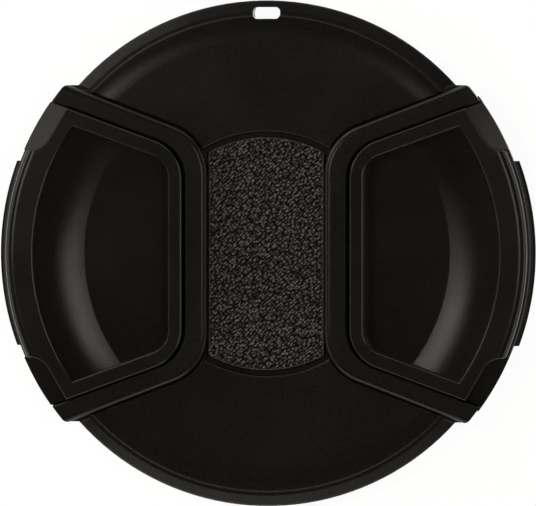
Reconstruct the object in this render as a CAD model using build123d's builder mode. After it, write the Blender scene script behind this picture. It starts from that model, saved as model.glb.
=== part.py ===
from build123d import *
import os
from math import cos, pi, radians, sin, tan

# Centre-pinch lens cap for a filter thread of 77 mm. Sizes in millimetres.
# The cap lies on its back: +Z leaves the front face, +Y points to the leash slot,
# and the two pinch tabs slide along X. Z is 0 on the rear face of the rear plate.

# Filter thread that the hooks snap into
thread_d = 77.0
thread_pitch = 0.75
thread_depth = 0.4
thread_flank = 30.0
thread_crest = 0.1

# Front disc
disc_inset = 2.2
rim_bottom = 3.2
rim_edge = 1.2
rim_break = 0.15
bevel_width = 1.6
bevel_drop = 0.9
base_wall = 1.1
skirt_step = 1.1
skirt_wall = 1.2
skirt_bottom = 0.4

# Raised plateaus above and below the middle panel
plateau_inset = 2.1
plateau_height = 1.0
roll_width = 3.4
roll_drop = 0.55
plateau_break = 0.16
groove = 0.15

# Raised arms that frame the tabs
arm_inset = 0.85
arm_end_y = 24.15
arm_end_round = 1.0
arm_foot_x = 8.4
arm_foot = 0.6
arm_corner_y = 16.46
arm_slope = 21.1
arm_bend = 7.3
arm_height = 2.3
arm_round = 0.85

# Middle panel and its grained pad
panel_arc_r = 17.8
panel_peak_y = 17.54
panel_margin = 0.8
pad_clearance = 0.1
pad_thick = 0.85
pad_corner = 0.4
pad_edge_break = 0.2

# Leash slot
slot_bridge = 0.97
slot_length = 3.9
slot_width = 1.7
slot_corner = 0.7

# Pinch tabs
tab_travel = 0.4
tab_clearance = 0.06
tab_side_x = 12.05
tab_corner_y = 14.79
tab_slope = 20.3
tab_bend = 5.8
tab_rise = 0.6
tab_floor_wall = 1.2
edge_break = 0.18
flange_inset = 0.65
flange_thick = 1.8
flange_break = 0.2
shelf_lap = 0.5
shelf_side_clearance = 0.3
shelf_clearance = 0.1

# Finger pocket and its scooped ramp
pocket_side_x = 13.96
pocket_corner_y = 13.32
pocket_slope = 20.0
pocket_bend = 3.3
pocket_shift = 1.5
pocket_depth = 3.6
ramp_width = 7.2
ramp_rise = 2.5
ramp_start_slope = 8.0

# Lip on the outer side of a tab, and the ledges at its two ends
lip_inset = 0.45
lip_width = 3.95
lip_round = 1.2
lip_half = 14.9
ledge_depth = 5.35
ledge_lean = 30.0
ledge_bend = 3.0
ledge_drop = 1.0
ledge_slope = 12.0

# Threaded hook under a tab's flange
hook_half = 13.27
hook_bottom = 0.5
hook_wall = 2.0
hook_ridges = 3
hook_clearance = 0.4

# Guide rails, stop ears and spring posts of a tab
rail_y = 11.0
rail_width = 1.6
rail_inset = 1.1
rail_clearance = 0.15
bar_x = 9.0
bar_top = 3.5
ear_length = 1.4
ear_reach = 1.8
stop_clearance = 0.1
stop_length = 1.2
stop_width = 1.6

# Coil springs
spring_y = 6.0
spring_z = 2.6
spring_r = 1.4
spring_wire = 0.4
spring_turns = 5
turn_chords = 10
spring_clearance = 0.05
post_side = 1.2
post_length = 2.0
wall_half = 0.8
wall_half_y = 8.5

# Rear plate
plate_wall = 1.0
plate_clearance = 0.3
plate_ring = 11.9
plate_dish = 0.25
guide_rib_width = 0.7
guide_rib_height = 1.2
guide_clearance = 0.2
guide_start_x = 15.0
guide_inset = 2.0

# Heat-formed pins that hold the rear plate
pin_inset = 6.2
pin_spread = 24.0
pin_r = 1.0
pin_clearance = 0.1
pin_head_r = 1.7
pin_head = 0.45
pin_head_recess = 0.15
pin_boss_r = 2.2

# Levels and places worked out from the sizes above
hook_crest_r = thread_d / 2
hook_r = hook_crest_r - thread_depth
hook_inner_r = hook_r - hook_wall
disc_r = hook_crest_r - disc_inset
arm_r = hook_crest_r - arm_inset
flange_r = hook_crest_r - flange_inset
lip_r = flange_r - lip_inset
pocket_r = lip_r - lip_width
ramp_r = pocket_r - ramp_width
skirt_r = disc_r - skirt_step
skirt_inner_r = skirt_r - skirt_wall
plateau_r = disc_r - plateau_inset
plateau_flat_r = plateau_r - roll_width
roll_r = plateau_r - plateau_break
slot_y = disc_r - slot_bridge - slot_width / 2
pin_circle_r = skirt_inner_r - pin_inset
pin_angles = [90 - pin_spread, 90 + pin_spread, 270 - pin_spread, 270 + pin_spread]
plate_r = skirt_inner_r - plate_clearance
tab_gap = tab_travel + tab_clearance
ledge_bend_x = lip_r - ledge_depth
reach = 1.2 * arm_r
ledge_end_x = ledge_bend_x - reach * sin(radians(ledge_lean))
ledge_end_y = lip_half + reach * cos(radians(ledge_lean))
rail_end_x = pocket_r - rail_inset
guide_end_x = rail_end_x - guide_inset
base_top = rim_bottom + rim_edge + bevel_drop
base_under = base_top - base_wall
plateau_top = base_top + plateau_height
arm_top = base_top + arm_height
tab_top = arm_top + tab_rise
tab_floor = tab_top - pocket_depth
tab_under = tab_floor - tab_floor_wall
ledge_top = arm_top - ledge_drop + tab_rise
rail_bottom = plate_wall + rail_clearance
above = 2 * tab_top


def funnel(side_x, corner_y, slope, bend):
    """Outline open towards +X: an upright side, two round bends and two flaring edges."""
    far_y = corner_y + (reach - side_x) * tan(radians(slope))
    with BuildSketch() as outline:
        with BuildLine():
            Polyline(
                (side_x, -corner_y), (reach, -far_y), (reach, far_y), (side_x, corner_y), close=True
            )
        make_face()
        fillet(outline.vertices().group_by(Axis.X)[0], bend)
    return outline.sketch


def grown(outline, amount):
    """The same outline with every edge moved outwards."""
    with BuildSketch() as larger:
        offset(outline, amount=amount, kind=Kind.INTERSECTION)
    return larger.sketch


def rounded_ends(radius):
    """Field whose upper and lower edges are arcs, concentric with those of the middle panel."""
    with BuildSketch() as field:
        with Locations((0, panel_peak_y - panel_arc_r)):
            Circle(radius)
        Rectangle(2 * reach, reach, align=(Align.CENTER, Align.MIN), mode=Mode.INTERSECT)
        mirror(about=Plane.XZ)
    return field.sketch


def ring(points):
    """Ring about Z with a section of straight edges, given as radius and height."""
    with BuildPart() as turned:
        with BuildSketch(Plane.XZ):
            with BuildLine():
                Polyline(*points, close=True)
            make_face()
        revolve(axis=Axis.Z)
    return turned.part


def is_arc(edge, radius):
    """True for a round edge of this radius."""
    return edge.geom_type == GeomType.CIRCLE and abs(edge.radius - radius) < 0.001


tab_outline = funnel(tab_side_x, tab_corner_y, tab_slope, tab_bend)
tab_swept = funnel(tab_side_x - tab_travel, tab_corner_y, tab_slope, tab_bend)
tab_opening = grown(tab_swept, tab_clearance)
arm_outline = funnel(arm_foot_x, arm_corner_y, arm_slope, arm_bend)
arm_groove = grown(arm_outline, groove)
shelf_outline = grown(tab_outline, tab_gap + shelf_lap)
shelf_opening = grown(shelf_outline, shelf_side_clearance)

# Corner of the tab that lies lower than its frame, outside the bent edge
with BuildSketch() as ledge_outline:
    with BuildLine():
        Polyline(
            (ledge_end_x, ledge_end_y),
            (ledge_bend_x, lip_half),
            (reach, lip_half),
            (reach, ledge_end_y),
            close=True,
        )
    make_face()
    fillet(ledge_outline.vertices().group_by(Axis.Y)[0].sort_by(Axis.X)[0], ledge_bend)
    mirror(about=Plane.XZ)

# Arms on the right, with rounded outer walls and a wider foot below the disc's face
with BuildPart() as right_arms:
    with BuildSketch(Plane.XY.offset(base_top)):
        add(arm_outline)
    extrude(amount=arm_height)
    fillet(right_arms.edges().group_by(Axis.Z)[-1].sort_by(Axis.X)[:-1], arm_round)
    with BuildSketch(Plane.XY.offset(rim_bottom)):
        add(grown(arm_outline, arm_foot))
    extrude(amount=base_top - rim_bottom)
    with BuildSketch(Plane.XY):
        add(tab_opening)
    extrude(amount=above, mode=Mode.SUBTRACT)
    chamfer(right_arms.edges(Select.LAST).group_by(Axis.Z)[-1], edge_break)
    with BuildSketch(Plane.XY.offset(rim_bottom)):
        Circle(skirt_inner_r)
        add(shelf_opening)
    extrude(amount=base_under - rim_bottom, mode=Mode.SUBTRACT)
    with BuildSketch(Plane.XY.offset(rim_bottom)) as arm_ends:
        Circle(arm_r)
        Rectangle(2 * reach, 2 * arm_end_y, mode=Mode.INTERSECT)
        fillet(arm_ends.vertices(), arm_end_round)
    extrude(amount=above, mode=Mode.INTERSECT)

# Upper and lower plateau, rolling off towards the rim
with BuildPart() as plateaus:
    with BuildSketch(Plane.XZ):
        with BuildLine():
            Polyline((0, base_top), (0, plateau_top), (plateau_flat_r, plateau_top))
            roll = TangentArc(
                (plateau_flat_r, plateau_top), (roll_r, plateau_top - roll_drop), tangent=(1, 0)
            )
            wall_top = plateau_top - roll_drop - plateau_break
            Polyline(roll @ 1, (plateau_r, wall_top), (plateau_r, base_top), (0, base_top))
        make_face()
    revolve(axis=Axis.Z)
    with BuildSketch(Plane.XY.offset(base_top)):
        add(arm_groove)
        mirror(about=Plane.YZ)
        add(rounded_ends(panel_arc_r))
    extrude(amount=above, mode=Mode.SUBTRACT)
    crisp = plateaus.edges(Select.LAST).group_by(Axis.Z)[-1]
    chamfer(crisp, plateau_break)

# Front cover: disc with skirt, plateaus, arms, stop posts, spring wall and rivet pins
with BuildPart() as front_cover:
    add(
        ring(
            [
                (0, base_top),
                (disc_r - bevel_width, base_top),
                (disc_r - rim_break, base_top - bevel_drop),
                (disc_r, base_top - bevel_drop - rim_break),
                (disc_r, rim_bottom),
                (skirt_r, rim_bottom),
                (skirt_r, skirt_bottom),
                (skirt_inner_r, skirt_bottom),
                (skirt_inner_r, base_under),
                (0, base_under),
            ]
        )
    )
    with BuildSketch(Plane.XY.offset(rim_bottom)):
        add(tab_opening)
        mirror(about=Plane.YZ)
    extrude(amount=above, mode=Mode.SUBTRACT)
    with BuildSketch(Plane.XY.offset(rim_bottom)):
        add(shelf_opening)
        mirror(about=Plane.YZ)
    extrude(amount=base_under - rim_bottom, mode=Mode.SUBTRACT)
    with BuildSketch(Plane.XY):
        with Locations((reach, 0), (-reach, 0)):
            Rectangle(2 * (reach - ramp_r), 2 * (hook_half + hook_clearance))
    extrude(amount=above, mode=Mode.SUBTRACT)
    add(plateaus.part)
    add(right_arms.part)
    mirror(right_arms.part, about=Plane.YZ)
    with BuildSketch(Plane.XY):
        with Locations((0, slot_y)):
            RectangleRounded(slot_length, slot_width, slot_corner)
    extrude(amount=above, mode=Mode.SUBTRACT)
    stop_x = bar_x + ear_length + stop_clearance + stop_length / 2
    stop_y = rail_y + rail_width / 2 + ear_reach - stop_width / 2
    with BuildSketch(Plane.XY.offset(rail_bottom)):
        with GridLocations(2 * stop_x, 2 * stop_y, 2, 2):
            Rectangle(stop_length, stop_width)
        Rectangle(2 * wall_half, 2 * wall_half_y)
    extrude(amount=base_under - rail_bottom)
    with BuildSketch(Plane.YZ.offset(-wall_half - post_length)):
        with Locations((spring_y, spring_z), (-spring_y, spring_z)):
            Rectangle(post_side, post_side)
    extrude(amount=2 * (wall_half + post_length))
    for angle in pin_angles:
        with BuildSketch(Plane.XY.offset(plate_wall)):
            with PolarLocations(pin_circle_r, 1, start_angle=angle):
                Circle(pin_boss_r)
        extrude(amount=base_under - plate_wall)
        with BuildSketch(Plane.XY.offset(plate_wall)):
            with PolarLocations(pin_circle_r, 1, start_angle=angle):
                Circle(pin_r)
        extrude(amount=pin_head - plate_wall)
        with BuildSketch(Plane.XY.offset(pin_head)):
            with PolarLocations(pin_circle_r, 1, start_angle=angle):
                Circle(pin_head_r)
        extrude(amount=pin_head_recess - pin_head)
front_cover.part.label = "front_cover"

# Grained pad glued into the middle panel
pad_half_x = arm_foot_x - pad_clearance
with BuildPart() as centre_pad:
    with BuildSketch(Plane.XY.offset(base_top)) as pad_outline:
        add(rounded_ends(panel_arc_r - panel_margin))
        Rectangle(2 * pad_half_x, 2 * panel_peak_y, mode=Mode.INTERSECT)
        fillet(pad_outline.vertices(), pad_corner)
    extrude(amount=pad_thick)
    chamfer(centre_pad.edges().group_by(Axis.Z)[-1], pad_edge_break)
centre_pad.part.label = "centre_pad"

# Finger pocket: flat floor, with a concave ramp rising to the lip
with BuildPart() as pocket:
    with BuildSketch(Plane.XY.offset(tab_floor)):
        add(funnel(pocket_side_x, pocket_corner_y, pocket_slope, pocket_bend))
        with Locations((pocket_shift, 0)):
            Circle(pocket_r - pocket_shift, mode=Mode.INTERSECT)
    extrude(amount=above)
    with BuildSketch(Plane.XZ):
        with BuildLine():
            scoop = TangentArc(
                (ramp_r, tab_floor),
                (pocket_r, tab_floor + ramp_rise),
                tangent=(1, tan(radians(ramp_start_slope))),
            )
            Polyline(
                scoop @ 1, (reach, tab_floor + ramp_rise), (reach, 0), (ramp_r, 0), (ramp_r, tab_floor)
            )
        make_face()
    revolve(axis=Axis.Z, mode=Mode.SUBTRACT)

# Flange below the lip, which stops against the front of the lens, and its shelf under the arms
with BuildPart() as flange:
    with BuildSketch(Plane.XY.offset(rim_bottom)):
        add(tab_outline)
        Circle(flange_r, mode=Mode.INTERSECT)
        Circle(pocket_r, mode=Mode.SUBTRACT)
    extrude(amount=flange_thick)
    rim_edges = flange.edges().filter_by(lambda edge: is_arc(edge, flange_r))
    chamfer(rim_edges.group_by(Axis.Z)[-1], flange_break)
    with BuildSketch(Plane.XY.offset(rim_bottom)):
        add(shelf_outline)
        Circle(flange_r, mode=Mode.INTERSECT)
        Circle(pocket_r, mode=Mode.SUBTRACT)
    extrude(amount=base_under - shelf_clearance - rim_bottom)

# Low ledges at the corners of the tab, sloping gently outwards
with BuildPart() as ledges:
    ledge_run = reach - pocket_r
    add(
        ring(
            [
                (pocket_r, ledge_top),
                (reach, ledge_top - ledge_run * tan(radians(ledge_slope))),
                (reach, rim_bottom),
                (pocket_r, rim_bottom),
            ]
        )
    )
    with BuildSketch(Plane.XY):
        add(tab_outline)
        Circle(flange_r, mode=Mode.INTERSECT)
        add(ledge_outline.sketch, mode=Mode.INTERSECT)
    extrude(amount=above, mode=Mode.INTERSECT)

# Hook: curved wall with thread ridges, under the flange
with BuildPart() as hook:
    flank = thread_depth * tan(radians(thread_flank))
    ridge_base = rim_bottom - hook_ridges * thread_pitch
    crest = [(hook_inner_r, hook_bottom), (hook_r, hook_bottom)]
    for turn in range(hook_ridges):
        low = ridge_base + turn * thread_pitch
        crest.append((hook_r, low))
        crest.append((hook_crest_r, low + flank))
        crest.append((hook_crest_r, low + flank + thread_crest))
        crest.append((hook_r, low + 2 * flank + thread_crest))
    crest.append((hook_r, tab_under))
    crest.append((hook_inner_r, tab_under))
    add(ring(crest))
    with BuildSketch(Plane.XY):
        with Locations((reach, 0)):
            Rectangle(2 * reach, 2 * hook_half)
    extrude(amount=above, mode=Mode.INTERSECT)

# Right tab: frame with pocket and lip, ledges, flange, hook, rails, ears and spring posts
with BuildPart() as right_tab:
    with BuildSketch(Plane.XY.offset(tab_under)):
        add(tab_outline)
        Circle(lip_r, mode=Mode.INTERSECT)
        add(ledge_outline.sketch, mode=Mode.SUBTRACT)
    extrude(amount=tab_top - tab_under)
    lip_edge = right_tab.edges().filter_by(lambda edge: is_arc(edge, lip_r))
    fillet(lip_edge.group_by(Axis.Z)[-1], lip_round)
    frame_edges = right_tab.edges().group_by(Axis.Z)[-1]
    chamfer(frame_edges.filter_by(lambda edge: not is_arc(edge, lip_r - lip_round)), edge_break)
    add(pocket.part, mode=Mode.SUBTRACT)
    chamfer(right_tab.edges(Select.LAST).group_by(Axis.Z)[-1], edge_break)
    add(flange.part)
    add(ledges.part)
    add(hook.part)
    with BuildSketch(Plane.XY.offset(rail_bottom)):
        rail_length = rail_end_x - bar_x
        with Locations((bar_x + rail_length / 2, rail_y), (bar_x + rail_length / 2, -rail_y)):
            Rectangle(rail_length, rail_width)
        bar_length = tab_side_x + tab_gap - bar_x
        with Locations((bar_x + bar_length / 2, 0)):
            Rectangle(bar_length, 2 * rail_y)
        with Locations((bar_x + ear_length / 2, 0)):
            Rectangle(ear_length, 2 * rail_y + rail_width + 2 * ear_reach)
    extrude(amount=bar_top - rail_bottom)
    with BuildSketch(Plane.YZ.offset(bar_x)):
        with Locations((spring_y, spring_z), (-spring_y, spring_z)):
            Rectangle(post_side, post_side)
    extrude(amount=-post_length)
right_tab.part.label = "right_tab"

with BuildPart() as left_tab:
    mirror(right_tab.part, about=Plane.YZ)
left_tab.part.label = "left_tab"

# Rear plate with guide ribs beside the rails and stepped holes for the pins
with BuildPart() as rear_plate:
    with BuildSketch(Plane.XY):
        Circle(plate_r)
    extrude(amount=plate_wall)
    with BuildSketch(Plane.XY):
        Circle(plate_r - plate_ring)
    extrude(amount=plate_dish, mode=Mode.SUBTRACT)
    rib_inner = rail_y - rail_width / 2 - guide_clearance - guide_rib_width / 2
    rib_outer = rail_y + rail_width / 2 + guide_clearance + guide_rib_width / 2
    rib_x = guide_start_x + guide_end_x
    with BuildSketch(Plane.XY.offset(plate_wall)):
        for rib_y in (rib_inner, rib_outer):
            with GridLocations(rib_x, 2 * rib_y, 2, 2):
                Rectangle(guide_end_x - guide_start_x, guide_rib_width)
    extrude(amount=guide_rib_height)
    for angle in pin_angles:
        with Locations(Plane.XY.rotated((180, 0, 0))):
            with PolarLocations(pin_circle_r, 1, start_angle=-angle):
                CounterBoreHole(pin_r + pin_clearance, pin_head_r + pin_clearance, pin_head)
rear_plate.part.label = "rear_plate"


def coil(side, level):
    """Compression spring along X between the middle wall and a tab's cross bar, with ends cut flat."""
    start_x = wall_half + spring_clearance
    end_x = bar_x - spring_clearance
    pitch = (end_x - start_x) / spring_turns
    coil_r = spring_r - spring_wire / 2
    turn_points = []
    for step in range(int((spring_turns + 1) * turn_chords) + 1):
        turn = step / turn_chords
        across = coil_r * cos(2 * pi * turn)
        upward = coil_r * sin(2 * pi * turn)
        turn_points.append((start_x + (turn - 0.5) * pitch, level * spring_y + across, spring_z + upward))
    with BuildPart() as spring:
        with BuildLine() as path:
            Polyline(*turn_points)
        with BuildSketch(Plane(origin=path.line @ 0, z_dir=path.line % 0)):
            Rectangle(spring_wire, spring_wire)
        sweep(path=path.line, transition=Transition.RIGHT)
        split(bisect_by=Plane.YZ.offset(start_x), keep=Keep.TOP)
        split(bisect_by=Plane.YZ.offset(end_x), keep=Keep.BOTTOM)
        if side < 0:
            mirror(about=Plane.YZ, mode=Mode.REPLACE)
    return spring


os.makedirs("parts", exist_ok=True)
for piece in (front_cover, centre_pad, left_tab, right_tab, rear_plate):
    export_step(piece.part, f"parts/{piece.part.label}.step")
for side, side_name in ((-1, "left"), (1, "right")):
    for level, level_name in ((1, "upper"), (-1, "lower")):
        spring = coil(side, level)
        spring.part.label = f"{side_name}_{level_name}_spring"
        export_step(spring.part, f"parts/{spring.part.label}.step")
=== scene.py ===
from collections import namedtuple
from math import cos, radians, sin, tan

import bpy
import numpy as np
from mathutils import Matrix, Vector


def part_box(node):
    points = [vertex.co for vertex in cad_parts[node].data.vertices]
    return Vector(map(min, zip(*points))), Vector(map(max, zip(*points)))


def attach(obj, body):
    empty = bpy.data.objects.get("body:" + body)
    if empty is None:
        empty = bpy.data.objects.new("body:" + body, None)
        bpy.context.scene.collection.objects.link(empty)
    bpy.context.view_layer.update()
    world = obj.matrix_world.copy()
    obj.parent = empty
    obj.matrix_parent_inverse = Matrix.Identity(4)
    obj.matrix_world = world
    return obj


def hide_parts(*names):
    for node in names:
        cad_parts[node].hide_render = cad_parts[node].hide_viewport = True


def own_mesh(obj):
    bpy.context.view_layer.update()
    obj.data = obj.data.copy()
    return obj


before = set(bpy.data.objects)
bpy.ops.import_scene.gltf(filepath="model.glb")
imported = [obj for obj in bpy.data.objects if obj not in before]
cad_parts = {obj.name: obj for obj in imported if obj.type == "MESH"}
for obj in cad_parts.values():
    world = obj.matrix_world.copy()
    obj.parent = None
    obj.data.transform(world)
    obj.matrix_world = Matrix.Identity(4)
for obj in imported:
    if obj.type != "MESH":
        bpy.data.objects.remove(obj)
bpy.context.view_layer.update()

bl_info = {
    "name": "Centre-pinch lens cap",
    "version": (1, 0, 0),
    "blender": (4, 5, 0),
    "location": "View3D > Sidebar > Lens cap",
    "description": "Finishes, grained pad, springs and studio for a centre-pinch lens cap",
    "category": "Object",
}

MM = 0.001

# Places taken from the CAD frame
pad_low, pad_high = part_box("centre_pad")
spring_low, spring_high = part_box("right_upper_spring")

# Noise shared by the finishes
FINE_DETAIL = 3.0
SOFT_DETAIL = 2.0
FINE_ROUGHNESS = 0.6

# Finish of the moulded plastic; the shares are of the grain's size and depth in the settings
GLOSS_DRIFT_SIZE = 9.0 * MM
GLOSS_DRIFT = 0.03
GRAIN_DARK = 0.45
GRAIN_BRIGHT = 1.55
PLASTIC_SPECULAR = 0.16
EDGE_SAMPLES = 4
REAR_SIZE_SHARE = 1.5
TAB_SIZE_SHARE = 0.9
TAB_DEPTH_SHARE = 1.1

# Finish of the pad, with painted shade in the creases and painted sheen on the crests; up to the sheen's
# start the colour stays at the painted crease shade
SKIN_SIZE = 0.14 * MM
SKIN_DEPTH = 0.002 * MM
# Painted shade: the creases' colour is this small share of the crest colour
CREASE_PAINTED_SHADE = 0.01
PAINTED_SHEEN_START = 0.02
CREASE_ROUGHER = 0.25
PAD_SPECULAR = 0.0625

# Finish of the spring wire
STREAK_SIZE = 0.15 * MM
STREAK_DARK = 0.85
STREAK_BRIGHT = 1.1
STREAK_GLOSSY = 0.22
STREAK_DULL = 0.38

# Grain of the pad, in cells of one pebble each; the lean's spread is in radians
CELL_MARGIN = 0.15
CELL_SPREAD = 1.0 - 2.0 * CELL_MARGIN
LEAN_SPREAD = 1.1
LOWEST_RISE = 0.45
RISE_SPREAD = 1.0 - LOWEST_RISE
BELL_LENGTH = 0.5
BELL_WIDTH = 0.38

# Numbers that scatter the pebbles, and one salt for each thing that is scattered
COLUMN_STEP = 127.1
ROW_STEP = 311.7
SINE_SCALE = 43758.5453
PLACE_U_SALT = 0.0
PLACE_V_SALT = 57.0
LEAN_SALT = 91.0
RISE_SALT = 23.0

# Shares of a full quarter circle that the pad's corners and rolled edge take
CORNER_SHARE = 0.7
ROLL_SHARE = 0.8

# Mesh of a coil, and the turns that lie closed at each end
POINTS_PER_TURN = 28
WIRE_SIDES = 12
CLOSED_TURNS = 0.75

# Floor in metres, with its white and the grey that shows the shadow
FLOOR_HALF = 3.0
FLOOR_LEVEL = -0.02 * MM
FLOOR_WHITE = 0.92
FLOOR_SHADE = 0.156

# Studio walls: heights on a unit sphere between which the walls fade to the ceiling
WALLS_END = 0.05
CEILING_START = 0.45
WALL_COLOUR = (1.0, 0.99, 0.975)

# Softboxes round the cap: angles in degrees, distance and size in metres
Softbox = namedtuple("Softbox", "name azimuth off_vertical distance width height radiance")
SOFTBOXES = (
    Softbox("key_right", 14, 18, 0.5, 0.14, 0.14, 5.8),
    Softbox("key_left", 162, 24, 0.5, 0.12, 0.14, 8.3),
    Softbox("front_low", 262, 80, 0.7, 1.2, 0.16, 4.5),
    Softbox("front_fill", 270, 60, 0.6, 0.9, 0.3, 0.5),
    Softbox("back_left_low", 140, 78, 0.7, 0.7, 0.2, 4.8),
    Softbox("back_low", 90, 80, 0.7, 1.2, 0.2, 1.9),
    Softbox("left_low", 180, 84, 0.7, 0.8, 0.12, 3.8),
    Softbox("right_low", 0, 84, 0.7, 0.8, 0.12, 3.8),
)
LAMP_COLOUR = (1.0, 0.94, 0.87)

# Camera: sensor in millimetres, and the point it aims at in metres
SENSOR_WIDTH = 36.0
CAMERA_AIM = (0.14 * MM, 0.06 * MM, 4.0 * MM)


class PlasticSettings(bpy.types.PropertyGroup):
    """Moulded black plastic of the cover, the tabs and the rear plate."""

    colour: bpy.props.FloatVectorProperty(
        name="Colour", description="Colour of the moulded plastic",
        subtype="COLOR", size=3, min=0.0, max=1.0, default=(0.0091, 0.0087, 0.0078))
    cover_roughness: bpy.props.FloatProperty(
        name="Cover roughness", description="Roughness of the spark-textured cover",
        subtype="FACTOR", min=0.0, max=1.0, default=0.22)
    tab_roughness: bpy.props.FloatProperty(
        name="Tab roughness", description="Roughness of the smoother tabs",
        subtype="FACTOR", min=0.0, max=1.0, default=0.19)
    rear_roughness: bpy.props.FloatProperty(
        name="Rear roughness", description="Roughness of the matt rear plate",
        subtype="FACTOR", min=0.0, max=1.0, default=0.5)
    grain_size: bpy.props.FloatProperty(
        name="Grain size", description="Size of one grain of the mould's spark texture",
        subtype="DISTANCE", unit="LENGTH", min=0.00002, default=0.24 * MM)
    grain_depth: bpy.props.FloatProperty(
        name="Grain depth", description="Depth of the mould's spark texture",
        subtype="DISTANCE", unit="LENGTH", min=0.0, default=0.0095 * MM)
    cover_edge: bpy.props.FloatProperty(
        name="Cover edge", description="Radius at which the cover's and arms' edges catch the light",
        subtype="DISTANCE", unit="LENGTH", min=0.0, default=0.3 * MM)
    tab_edge: bpy.props.FloatProperty(
        name="Tab edge", description="Radius at which the tabs' and rear plate's edges catch the light",
        subtype="DISTANCE", unit="LENGTH", min=0.0, default=0.16 * MM)


class PadSettings(bpy.types.PropertyGroup):
    """Leather-grained pad in the middle of the cap."""

    # The crests' grey colour is painted sheen that stands in for gloss highlights on the black grain
    colour: bpy.props.FloatVectorProperty(
        name="Colour", description="Colour of the worn crests of the grain",
        subtype="COLOR", size=3, min=0.0, max=1.0, default=(0.253, 0.251, 0.244))
    roughness: bpy.props.FloatProperty(
        name="Roughness", description="Roughness of the pad's raised grain",
        subtype="FACTOR", min=0.0, max=1.0, default=0.3)
    pebble: bpy.props.FloatProperty(
        name="Pebble size", description="Width of one pebble of the grain",
        subtype="DISTANCE", unit="LENGTH", min=0.0001, default=0.36 * MM)
    stretch: bpy.props.FloatProperty(
        name="Pebble stretch", description="Length of a pebble against its width",
        min=1.0, max=4.0, default=1.5)
    lean: bpy.props.FloatProperty(
        name="Pebble lean", description="Angle of the pebbles' long side",
        subtype="ANGLE", unit="ROTATION", default=radians(42))
    depth: bpy.props.FloatProperty(
        name="Grain depth", description="Height of the pebbles above the creases",
        subtype="DISTANCE", unit="LENGTH", min=0.0, default=0.1 * MM)
    step: bpy.props.FloatProperty(
        name="Mesh step", description="Distance between the surface's grid lines",
        subtype="DISTANCE", unit="LENGTH", min=0.00005, default=0.08 * MM)
    arc_radius: bpy.props.FloatProperty(
        name="End radius", description="Radius of the pad's round ends",
        subtype="DISTANCE", unit="LENGTH", min=0.001, default=17.0 * MM)
    corner: bpy.props.FloatProperty(
        name="Corner radius", description="Radius of the pad's corners",
        subtype="DISTANCE", unit="LENGTH", min=0.0001, default=0.4 * MM)
    edge_roll: bpy.props.FloatProperty(
        name="Edge roll", description="Width of the rolled edge",
        subtype="DISTANCE", unit="LENGTH", min=0.00005, default=0.15 * MM)
    # Painted highlight along the pad's rolled rim, as a share of the painted sheen on the tallest pebbles
    rim_painted_highlight: bpy.props.FloatProperty(
        name="Rim wear", description="Wear of the pad's rim against that of the tallest pebbles",
        subtype="FACTOR", min=0.0, max=1.0, default=0.25)


class SpringSettings(bpy.types.PropertyGroup):
    """Coil springs between the middle wall and the tabs."""

    wire: bpy.props.FloatProperty(
        name="Wire", description="Diameter of the spring wire",
        subtype="DISTANCE", unit="LENGTH", min=0.00005, default=0.4 * MM)
    outer: bpy.props.FloatProperty(
        name="Outer radius", description="Outer radius of the coil",
        subtype="DISTANCE", unit="LENGTH", min=0.0005, default=1.4 * MM)
    turns: bpy.props.FloatProperty(
        name="Turns", description="Turns of the coil", min=1.0, default=5.5)
    colour: bpy.props.FloatVectorProperty(
        name="Colour", description="Colour of the drawn wire",
        subtype="COLOR", size=3, min=0.0, max=1.0, default=(0.55, 0.55, 0.56))


class StageSettings(bpy.types.PropertyGroup):
    """Floor, studio light and camera."""

    frame_width: bpy.props.FloatProperty(
        name="Frame width", description="Width of the view at the aim",
        subtype="DISTANCE", unit="LENGTH", min=0.001, default=76.93 * MM)
    camera_distance: bpy.props.FloatProperty(
        name="Camera distance", description="Distance from the camera to the aim",
        subtype="DISTANCE", unit="LENGTH", min=0.05, default=1.0)
    lean_x: bpy.props.FloatProperty(
        name="Lean to the right", description="Camera angle off the vertical, to the right",
        subtype="ANGLE", unit="ROTATION", default=radians(3.6))
    lean_y: bpy.props.FloatProperty(
        name="Lean to the slot", description="Camera angle off the vertical, towards the leash slot",
        subtype="ANGLE", unit="ROTATION", default=radians(1.5))
    floor_colour: bpy.props.FloatVectorProperty(
        name="Floor colour", description="Colour of the floor",
        subtype="COLOR", size=3, min=0.0, max=1.0, default=(0.8, 0.8, 0.8))
    horizon: bpy.props.FloatProperty(
        name="Horizon", description="Light of the studio's low walls", min=0.0, default=0.48)
    ceiling: bpy.props.FloatProperty(
        name="Ceiling", description="Light of the studio's dark ceiling", min=0.0, default=0.064)


def new_material(name):
    """Node material; returns it with its nodes, its links and its Principled shader."""
    material = bpy.data.materials.new(name)
    material.use_nodes = True
    nodes, links = material.node_tree.nodes, material.node_tree.links
    return material, nodes, links, nodes["Principled BSDF"]


def noise_on_object(nodes, links, size, detail, roughness=0.5):
    """Noise value on Object coordinates whose features measure about the given length."""
    place = nodes.new("ShaderNodeTexCoord")
    noise = nodes.new("ShaderNodeTexNoise")
    noise.inputs["Scale"].default_value = 1.0 / size
    noise.inputs["Detail"].default_value = detail
    noise.inputs["Roughness"].default_value = roughness
    links.new(place.outputs["Object"], noise.inputs["Vector"])
    return noise.outputs["Fac"]


def spread(nodes, links, value, low, high, start=0.3, end=0.7):
    """Value that runs from low to high while the given one runs from start to end."""
    ranged = nodes.new("ShaderNodeMapRange")
    ranged.inputs["From Min"].default_value = start
    ranged.inputs["From Max"].default_value = end
    ranged.inputs["To Min"].default_value = low
    ranged.inputs["To Max"].default_value = high
    links.new(value, ranged.inputs["Value"])
    return ranged.outputs["Result"]


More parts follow.
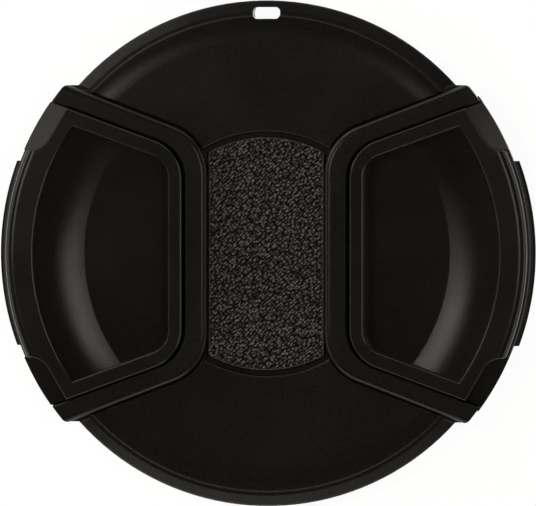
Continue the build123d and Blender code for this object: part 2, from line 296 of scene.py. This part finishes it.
def tinted(nodes, links, value, colour, dark, bright, start=0.3, end=0.7):
    """Colour from dark times to bright times the given one while the value runs from start to end."""
    ramp = nodes.new("ShaderNodeValToRGB")
    for element, position, share in zip(ramp.color_ramp.elements, (start, end), (dark, bright)):
        element.position = position
        element.color = (*[share * channel for channel in colour], 1.0)
    links.new(value, ramp.inputs["Fac"])
    return ramp.outputs["Color"]


def bumped(nodes, links, height, depth, shader):
    """Bump of the given depth on the shader's normal; returns its node."""
    bump = nodes.new("ShaderNodeBump")
    bump.inputs["Distance"].default_value = depth
    links.new(height, bump.inputs["Height"])
    links.new(bump.outputs["Normal"], shader.inputs["Normal"])
    return bump


def moulded_plastic(name, plastic, roughness, edge, size_share=1.0, depth_share=1.0):
    """Black moulded plastic: spark texture in height and tone, drift of gloss, edges that catch light."""
    material, nodes, links, shader = new_material(name)
    grain = noise_on_object(nodes, links, size_share * plastic.grain_size, FINE_DETAIL, FINE_ROUGHNESS)
    drift = noise_on_object(nodes, links, GLOSS_DRIFT_SIZE, SOFT_DETAIL)
    rounded = nodes.new("ShaderNodeBevel")
    rounded.samples = EDGE_SAMPLES
    rounded.inputs["Radius"].default_value = edge
    bump = bumped(nodes, links, grain, depth_share * plastic.grain_depth, shader)
    links.new(rounded.outputs["Normal"], bump.inputs["Normal"])
    gloss = spread(nodes, links, drift, roughness - GLOSS_DRIFT, roughness + GLOSS_DRIFT)
    links.new(gloss, shader.inputs["Roughness"])
    tone = tinted(nodes, links, grain, plastic.colour, GRAIN_DARK, GRAIN_BRIGHT)
    links.new(tone, shader.inputs["Base Color"])
    shader.inputs["Specular IOR Level"].default_value = PLASTIC_SPECULAR
    return material


def pebbled_leatherette(settings):
    """Grained pad: creases painted near black as shade, crests painted grey as sheen by a point attribute,
    and a fine skin on top.
    """
    material, nodes, links, shader = new_material("pebbled_leatherette")
    skin = noise_on_object(nodes, links, SKIN_SIZE, SOFT_DETAIL, FINE_ROUGHNESS)
    bumped(nodes, links, skin, SKIN_DEPTH, shader)
    painted_sheen = nodes.new("ShaderNodeAttribute")
    painted_sheen.attribute_name = "painted_sheen"
    painted_sheen_share = painted_sheen.outputs["Fac"]
    # Painted light and shade: the colour runs from painted crease shade to grey painted sheen on the
    # crests
    tone = tinted(nodes, links, painted_sheen_share, settings.colour, CREASE_PAINTED_SHADE, 1.0, start=PAINTED_SHEEN_START, end=1.0)
    links.new(tone, shader.inputs["Base Color"])
    gloss = spread(nodes, links, painted_sheen_share, settings.roughness + CREASE_ROUGHER, settings.roughness)
    links.new(gloss, shader.inputs["Roughness"])
    shader.inputs["Specular IOR Level"].default_value = PAD_SPECULAR
    return material


def drawn_wire(colour):
    """Spring steel with fine streaks of tone and gloss."""
    material, nodes, links, shader = new_material("drawn_wire")
    streak = noise_on_object(nodes, links, STREAK_SIZE, SOFT_DETAIL)
    tone = tinted(nodes, links, streak, colour, STREAK_DARK, STREAK_BRIGHT)
    links.new(tone, shader.inputs["Base Color"])
    gloss = spread(nodes, links, streak, STREAK_GLOSSY, STREAK_DULL)
    links.new(gloss, shader.inputs["Roughness"])
    shader.inputs["Metallic"].default_value = 1.0
    return material


def dress(node_name, material):
    """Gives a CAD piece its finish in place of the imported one."""
    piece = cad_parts[node_name]
    piece.data.materials.clear()
    piece.data.materials.append(material)


def new_object(name, data):
    """Object at the origin, linked into the scene."""
    item = bpy.data.objects.new(name, data)
    bpy.context.scene.collection.objects.link(item)
    return item


def mesh_piece(name, points, faces, material):
    """Object at the origin from points in metres, shaded smooth, riding on the cap's body."""
    mesh = bpy.data.meshes.new(name)
    mesh.from_pydata(points.tolist(), [], faces)
    mesh.polygons.foreach_set("use_smooth", np.ones(len(mesh.polygons), bool))
    mesh.materials.append(material)
    mesh.update()
    piece = new_object(name, mesh)
    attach(piece, "cap")
    return piece


def grid_faces(rows, columns, wrap=False):
    """Quads of a grid numbered row by row, closed across the columns where wrap is set."""
    row = np.arange(rows - 1)[:, None] * columns
    left = np.arange(columns if wrap else columns - 1)[None, :]
    right = (left + 1) % columns
    quads = np.stack([row + left, row + right, row + columns + right, row + columns + left], -1)
    return quads.reshape(-1, 4).tolist()


def closed_below(top, rows, columns, foot_z):
    """Points and faces of a grid surface with straight side walls and a flat underside at foot_z."""
    index = np.arange(rows * columns).reshape(rows, columns)
    rim = np.concatenate([index[0, :-1], index[:-1, -1], index[-1, :0:-1], index[:0:-1, 0]])
    foot = top[rim].copy()
    foot[:, 2] = foot_z
    foot_index = rows * columns + np.arange(rim.size)
    walls = np.stack([rim, foot_index, np.roll(foot_index, -1), np.roll(rim, -1)], -1)
    faces = grid_faces(rows, columns) + walls.tolist() + [foot_index[::-1].tolist()]
    return np.concatenate([top, foot]), faces


def scatter(column, row, salt):
    """Repeatable number from 0 to 1 for each cell: the fraction of a large sine of its column and row."""
    return np.modf(np.abs(np.sin(column * COLUMN_STEP + row * ROW_STEP + salt) * SINE_SCALE))[0]


def pebbles(x, y, settings):
    """Leather grain from 0 in the creases to 1 on the tallest pebbles.
    The plane is turned and squeezed and one long pebble is scattered in each square cell. Each has
    its own rise r and lean, and the height is the greatest of r * exp(-(a / length)^2 - (b / width)^2)
    with a along the pebble and b across it."""
    turn = settings.lean
    u = (x * cos(turn) + y * sin(turn)) / (settings.pebble * settings.stretch)
    v = (y * cos(turn) - x * sin(turn)) / settings.pebble
    column, row = np.floor(u), np.floor(v)
    height = np.zeros(u.shape)
    for across in (-1, 0, 1):
        for along in (-1, 0, 1):
            cell = (column + across, row + along)
            du = cell[0] + CELL_MARGIN + CELL_SPREAD * scatter(*cell, PLACE_U_SALT) - u
            dv = cell[1] + CELL_MARGIN + CELL_SPREAD * scatter(*cell, PLACE_V_SALT) - v
            lean = LEAN_SPREAD * (scatter(*cell, LEAN_SALT) - 0.5)
            long_way = du * np.cos(lean) + dv * np.sin(lean)
            cross_way = dv * np.cos(lean) - du * np.sin(lean)
            rise = LOWEST_RISE + RISE_SPREAD * scatter(*cell, RISE_SALT)
            bell = rise * np.exp(-(long_way / BELL_LENGTH) ** 2 - (cross_way / BELL_WIDTH) ** 2)
            height = np.maximum(height, bell)
    return height


def pad_surface(settings):
    """Points, faces and painted sheen of the pad.
    Columns run across the width and rows between the two round ends: y is a share of the end's
    arc, y_end = c + sqrt(R^2 - x^2), less the corner's rounding. The top lies at the pad's height
    less the creases, and within the rolled edge it falls along a flattened quarter circle to the
    side walls. The painted sheen is the square of the grain's height, so the crests are painted lighter
    as highlight and the creases stay at painted shade, with a faint painted highlight line along the rim."""
    half_x = pad_high.x
    centre_y = pad_high.y - settings.arc_radius
    across = np.linspace(-half_x, half_x, int(2 * half_x / settings.step) + 1)
    along = np.linspace(-1.0, 1.0, int(2 * pad_high.y / settings.step) + 1)
    past_corner = np.clip(np.abs(across) - (half_x - settings.corner), 0.0, settings.corner)
    rounding = settings.corner - np.sqrt(settings.corner ** 2 - past_corner ** 2)
    end = centre_y + np.sqrt(settings.arc_radius ** 2 - across ** 2) - rounding * CORNER_SHARE
    x = np.broadcast_to(across[None, :], (along.size, across.size))
    y = along[:, None] * end[None, :]
    inward = np.minimum(half_x - np.abs(x), end[None, :] - np.abs(y))
    roll = np.clip(1.0 - inward / settings.edge_roll, 0.0, 1.0)
    fall = settings.edge_roll * (1.0 - np.sqrt(1.0 - roll ** 2)) * ROLL_SHARE
    grain = pebbles(x, y, settings)
    z = pad_high.z - fall - settings.depth * (1.0 - grain) * (1.0 - roll)
    points, faces = closed_below(np.stack([x, y, z], -1).reshape(-1, 3), *x.shape, pad_low.z)
    # Painted sheen: crests painted lighter as highlight, creases left at painted shade, and a painted
    # highlight line along the rolled rim
    line = np.clip(1.0 - np.abs(inward / settings.edge_roll - 1.0), 0.0, 1.0)
    painted_sheen_share = np.maximum(grain ** 2 * (1.0 - roll), settings.rim_painted_highlight * line).reshape(-1)
    return points, faces, np.pad(painted_sheen_share, (0, len(points) - painted_sheen_share.size))


def coil_surface(settings, start_x, end_x, centre_y, centre_z):
    """Points and faces of a coil spring along X, as a circle carried along a helix.
    The helix angle runs evenly. Its travel is one wire's width a turn in the closed turns at each
    end, and even between them."""
    wire_r = 0.5 * settings.wire
    coil_r = settings.outer - wire_r
    share = np.linspace(0.0, 1.0, int(settings.turns * POINTS_PER_TURN) + 1)
    angle = 2.0 * np.pi * settings.turns * share
    close = CLOSED_TURNS / settings.turns
    eased = np.clip((share - close) / (1.0 - 2.0 * close), 0.0, 1.0)
    lead = np.minimum(share, close) + np.clip(share - 1.0 + close, 0.0, close)
    free = (end_x - start_x) - np.sign(end_x - start_x) * settings.wire
    shut = np.sign(free) * settings.wire * settings.turns
    travel = start_x + np.sign(free) * wire_r + shut * lead + (free - 2.0 * close * shut) * eased
    path = np.stack([travel, centre_y + coil_r * np.cos(angle), centre_z + coil_r * np.sin(angle)], -1)
    along = np.gradient(path, axis=0)
    along /= np.linalg.norm(along, axis=1, keepdims=True)
    outward = np.stack([np.zeros_like(angle), np.cos(angle), np.sin(angle)], -1)
    sideways = np.cross(along, outward)
    round_wire = np.linspace(0.0, 2.0 * np.pi, WIRE_SIDES, endpoint=False)
    section = wire_r * (np.cos(round_wire)[None, :, None] * outward[:, None, :]
                        + np.sin(round_wire)[None, :, None] * sideways[:, None, :])
    points = (path[:, None, :] + section).reshape(-1, 3)
    faces = grid_faces(share.size, WIRE_SIDES, wrap=True)
    last = (share.size - 1) * WIRE_SIDES
    faces.append(list(range(WIRE_SIDES))[::-1])
    faces.append(list(range(last, last + WIRE_SIDES)))
    return points, faces


class LENSCAP_OT_cover(bpy.types.Operator):
    """Give the front cover and the rear plate their moulded finish"""

    bl_idname = "lenscap.cover"
    bl_label = "Finish cover and rear plate"

    def execute(self, context):
        plastic = context.scene.lenscap_plastic
        cover = moulded_plastic("cover_plastic", plastic, plastic.cover_roughness, plastic.cover_edge)
        rear = moulded_plastic("rear_plastic", plastic, plastic.rear_roughness, plastic.tab_edge,
                               size_share=REAR_SIZE_SHARE)
        dress("front_cover", cover)
        dress("rear_plate", rear)
        return {"FINISHED"}


class LENSCAP_OT_tabs(bpy.types.Operator):
    """Give both pinch tabs their satin finish"""

    bl_idname = "lenscap.tabs"
    bl_label = "Finish pinch tabs"

    def execute(self, context):
        plastic = context.scene.lenscap_plastic
        satin = moulded_plastic("tab_plastic", plastic, plastic.tab_roughness, plastic.tab_edge,
                                size_share=TAB_SIZE_SHARE, depth_share=TAB_DEPTH_SHARE)
        dress("left_tab", satin)
        dress("right_tab", satin)
        return {"FINISHED"}


class LENSCAP_OT_pad(bpy.types.Operator):
    """Build the leather-grained pad in the middle panel"""

    bl_idname = "lenscap.pad"
    bl_label = "Build grained pad"

    def execute(self, context):
        settings = context.scene.lenscap_pad
        points, faces, painted_sheen_share = pad_surface(settings)
        pad = mesh_piece("grained_pad", points, faces, pebbled_leatherette(settings))
        # Point attribute that carries the painted sheen and the painted rim highlight to the pad's finish
        attribute = pad.data.attributes.new("painted_sheen", "FLOAT", "POINT")
        attribute.data.foreach_set("value", painted_sheen_share.astype(np.float32))
        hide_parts("centre_pad")
        return {"FINISHED"}


class LENSCAP_OT_springs(bpy.types.Operator):
    """Wind the four coil springs"""

    bl_idname = "lenscap.springs"
    bl_label = "Wind springs"

    def execute(self, context):
        settings = context.scene.lenscap_spring
        steel = drawn_wire(settings.colour)
        centre_z = 0.5 * (spring_low.z + spring_high.z)
        for side in ("left", "right"):
            for level in ("upper", "lower"):
                low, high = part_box(f"{side}_{level}_spring")
                near, far = (low.x, high.x) if side == "right" else (high.x, low.x)
                points, faces = coil_surface(settings, near, far, 0.5 * (low.y + high.y), centre_z)
                # A coil wound towards -X comes out with its faces inwards
                if side == "left":
                    faces = [face[::-1] for face in faces]
                coil = mesh_piece(f"{side}_{level}_coil", points, faces, steel)
                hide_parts(f"{side}_{level}_spring")
                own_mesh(coil)
        return {"FINISHED"}


def larger(nodes, links, first, second):
    """The larger of two node values."""
    node = nodes.new("ShaderNodeMath")
    node.operation = "MAXIMUM"
    links.new(first, node.inputs[0])
    links.new(second, node.inputs[1])
    return node.outputs["Value"]


def diffuse(nodes, colour):
    """Plain diffuse shader."""
    shader = nodes.new("ShaderNodeBsdfDiffuse")
    shader.inputs["Color"].default_value = (*colour, 1.0)
    return shader.outputs["BSDF"]


def mixed(nodes, links, share, first, second):
    """Shader that goes from the first to the second as the share goes from 0 to 1."""
    mix = nodes.new("ShaderNodeMixShader")
    links.new(share, mix.inputs["Fac"])
    links.new(first, mix.inputs[1])
    links.new(second, mix.inputs[2])
    return mix.outputs["Shader"]


def floor_finish(settings):
    """White with a soft shadow where it is seen or mirrored, pale to all other light, clear from below."""
    material, nodes, links, shader = new_material("pale_floor")
    nodes.remove(shader)
    rays = nodes.new("ShaderNodeLightPath").outputs
    seen = larger(nodes, links, rays["Is Camera Ray"], rays["Is Glossy Ray"])
    seen = larger(nodes, links, seen, rays["Is Transmission Ray"])
    white = nodes.new("ShaderNodeEmission")
    white.inputs["Strength"].default_value = FLOOR_WHITE
    shadowed = nodes.new("ShaderNodeAddShader")
    links.new(white.outputs["Emission"], shadowed.inputs[0])
    links.new(diffuse(nodes, (FLOOR_SHADE, FLOOR_SHADE, FLOOR_SHADE)), shadowed.inputs[1])
    plain = diffuse(nodes, settings.floor_colour)
    from_above = mixed(nodes, links, seen, plain, shadowed.outputs["Shader"])
    below = nodes.new("ShaderNodeNewGeometry").outputs["Backfacing"]
    clear = nodes.new("ShaderNodeBsdfTransparent").outputs["BSDF"]
    both_sides = mixed(nodes, links, below, from_above, clear)
    links.new(both_sides, nodes["Material Output"].inputs["Surface"])
    return material


def pale_floor(settings):
    """Square floor just under the cap."""
    low, high, level = -FLOOR_HALF, FLOOR_HALF, FLOOR_LEVEL
    corners = [(low, low, level), (high, low, level), (high, high, level), (low, high, level)]
    mesh = bpy.data.meshes.new("floor")
    mesh.from_pydata(corners, [], [(0, 1, 2, 3)])
    mesh.materials.append(floor_finish(settings))
    floor = new_object("floor", mesh)


def facing(place, right, out):
    """Placement at a point, with the object's X along right and its Z along out."""
    turn = Matrix((right, out.cross(right), out)).transposed().to_4x4()
    return Matrix.Translation(place) @ turn


def add_softbox(box):
    """Rectangular lamp that faces the cap's origin; its power is radiance * pi * area."""
    azimuth, off_vertical = radians(box.azimuth), radians(box.off_vertical)
    lamp = bpy.data.lights.new(box.name, "AREA")
    lamp.shape = "RECTANGLE"
    lamp.size = box.width
    lamp.size_y = box.height
    lamp.energy = box.radiance * np.pi * box.width * box.height
    lamp.color = LAMP_COLOUR
    out = Vector((sin(off_vertical) * cos(azimuth), sin(off_vertical) * sin(azimuth), cos(off_vertical)))
    side = Vector((-sin(azimuth), cos(azimuth), 0.0))
    holder = new_object(box.name, lamp)
    holder.matrix_world = facing(box.distance * out, side, out)


def studio_walls(settings):
    """World light: bright low walls that fade to a dark ceiling."""
    world = bpy.data.worlds.new("studio_walls")
    world.use_nodes = True
    nodes, links = world.node_tree.nodes, world.node_tree.links
    place = nodes.new("ShaderNodeTexCoord")
    parts = nodes.new("ShaderNodeSeparateXYZ")
    links.new(place.outputs["Generated"], parts.inputs["Vector"])
    fade = nodes.new("ShaderNodeMapRange")
    fade.interpolation_type = "SMOOTHSTEP"
    fade.inputs["From Min"].default_value = WALLS_END
    fade.inputs["From Max"].default_value = CEILING_START
    fade.inputs["To Min"].default_value = settings.horizon
    fade.inputs["To Max"].default_value = settings.ceiling
    links.new(parts.outputs["Z"], fade.inputs["Value"])
    links.new(fade.outputs["Result"], nodes["Background"].inputs["Strength"])
    nodes["Background"].inputs["Color"].default_value = (*WALL_COLOUR, 1.0)
    bpy.context.scene.world = world


def overhead_camera(settings):
    """Camera nearly straight above the cap, with the leash slot at the top of the picture."""
    data = bpy.data.cameras.new("overhead_camera")
    data.sensor_width = SENSOR_WIDTH
    data.lens = data.sensor_width * settings.camera_distance / settings.frame_width
    out = Vector((tan(settings.lean_x), tan(settings.lean_y), 1.0)).normalized()
    right = Vector((0.0, 1.0, 0.0)).cross(out).normalized()
    camera = new_object("overhead_camera", data)
    camera.matrix_world = facing(Vector(CAMERA_AIM) + settings.camera_distance * out, right, out)
    bpy.context.scene.camera = camera


class LENSCAP_OT_stage(bpy.types.Operator):
    """Set up the pale floor, the soft studio light and the camera"""

    bl_idname = "lenscap.stage"
    bl_label = "Set up studio"

    def execute(self, context):
        settings = context.scene.lenscap_stage
        pale_floor(settings)
        studio_walls(settings)
        for box in SOFTBOXES:
            add_softbox(box)
        overhead_camera(settings)
        context.scene.view_settings.view_transform = "Standard"
        return {"FINISHED"}


class LENSCAP_PT_panel(bpy.types.Panel):
    """Lens cap pieces and studio"""

    bl_idname = "LENSCAP_PT_panel"
    bl_label = "Lens cap"
    bl_space_type = "VIEW_3D"
    bl_region_type = "UI"
    bl_category = "Lens cap"

    def draw(self, context):
        for operator in OPERATORS:
            self.layout.operator(operator.bl_idname)
        for group, scene_name in SETTINGS:
            box = self.layout.box()
            for name in group.__annotations__:
                box.prop(getattr(context.scene, scene_name), name)


OPERATORS = (LENSCAP_OT_cover, LENSCAP_OT_tabs, LENSCAP_OT_pad, LENSCAP_OT_springs, LENSCAP_OT_stage)
SETTINGS = (
    (PlasticSettings, "lenscap_plastic"),
    (PadSettings, "lenscap_pad"),
    (SpringSettings, "lenscap_spring"),
    (StageSettings, "lenscap_stage"),
)


def register():
    """Registers the settings, the operators and the panel."""
    for group, scene_name in SETTINGS:
        bpy.utils.register_class(group)
        setattr(bpy.types.Scene, scene_name, bpy.props.PointerProperty(type=group))
    for operator in OPERATORS:
        bpy.utils.register_class(operator)
    bpy.utils.register_class(LENSCAP_PT_panel)


def unregister():
    """Takes everything that register added away again."""
    bpy.utils.unregister_class(LENSCAP_PT_panel)
    for operator in reversed(OPERATORS):
        bpy.utils.unregister_class(operator)
    for group, scene_name in reversed(SETTINGS):
        delattr(bpy.types.Scene, scene_name)
        bpy.utils.unregister_class(group)


def main():
    """Builds every piece and the stage."""
    register()
    bpy.ops.lenscap.cover()
    bpy.ops.lenscap.tabs()
    bpy.ops.lenscap.pad()
    bpy.ops.lenscap.springs()
    bpy.ops.lenscap.stage()


if __name__ == "__main__":
    main()
